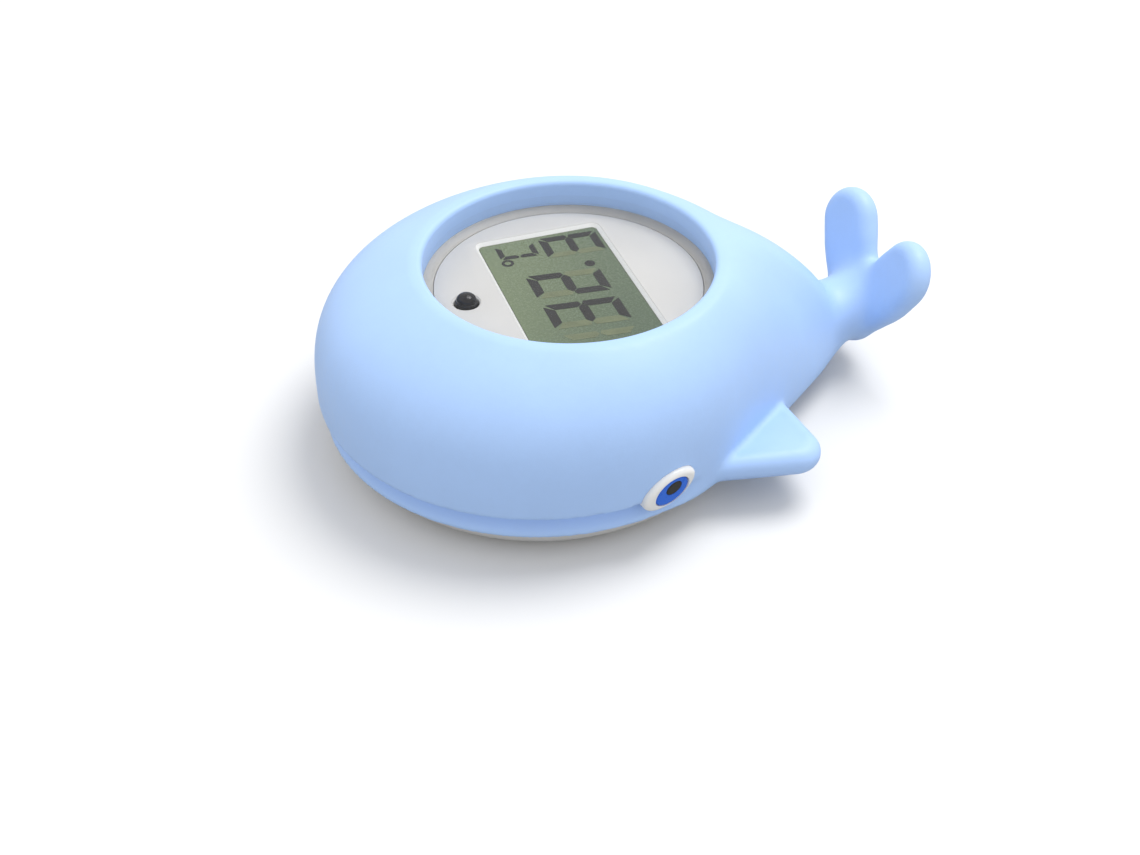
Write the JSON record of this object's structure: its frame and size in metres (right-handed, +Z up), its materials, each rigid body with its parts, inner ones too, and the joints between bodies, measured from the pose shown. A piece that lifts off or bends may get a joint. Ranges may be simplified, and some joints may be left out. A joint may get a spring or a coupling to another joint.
{
  "type": "floating bath thermometer",
  "caption": "Whale-shaped floating bath thermometer for babies: soft blue body round a sealed round display module with a screwed battery door",
  "frame": {"origin": "on the ground, on the axis of the round display module, under the battery door", "axes": "nose towards -X, tail towards +X, the whale's left side towards -Y, +Z up"},
  "size_m": [0.1056, 0.0784, 0.033],
  "materials": {
    "body_blue": "soft satin, thermoplastic elastomer",
    "belly_white": "satin",
    "module_grey": "satin",
    "lens_clear": "clear polished plastic",
    "seal_dark": "matt",
    "face_grey": "satin",
    "display_green": "display film behind glass",
    "lamp_black": "polished",
    "board_green": "solder mask",
    "resin_black": "cast",
    "steel": "plated",
    "sensor_steel": "drawn",
    "contact_metal": "plated spring strip",
    "eye_white": "gloss",
    "iris_blue": "gloss",
    "pupil_dark": "gloss"
  },
  "bodies": {
    "root": {"whale_body": "body_blue", "belly_shell": "belly_white", "case_screw_1": "steel", "case_screw_2": "steel", "case_screw_3": "steel", "module_housing": "module_grey", "clear_lens": "lens_clear", "lens_seal": "seal_dark", "face_plate": "face_grey", "lcd_panel": "display_green", "contact_strip": "seal_dark", "alarm_lamp": "lamp_black", "circuit_board": "board_green", "board_screw_1": "steel", "board_screw_2": "steel", "chip_blob": "resin_black", "button_cell": "steel", "spring_contact": "contact_metal", "side_contact": "contact_metal", "battery_door": "module_grey", "door_seal": "seal_dark", "door_screw": "steel", "sensor_cap": "sensor_steel", "sensor_bead": "resin_black", "left_eye_white": "eye_white", "left_eye_iris": "iris_blue", "left_eye_pupil": "pupil_dark", "right_eye_white": "eye_white", "right_eye_iris": "iris_blue", "right_eye_pupil": "pupil_dark"}
  },
  "joints": []
}
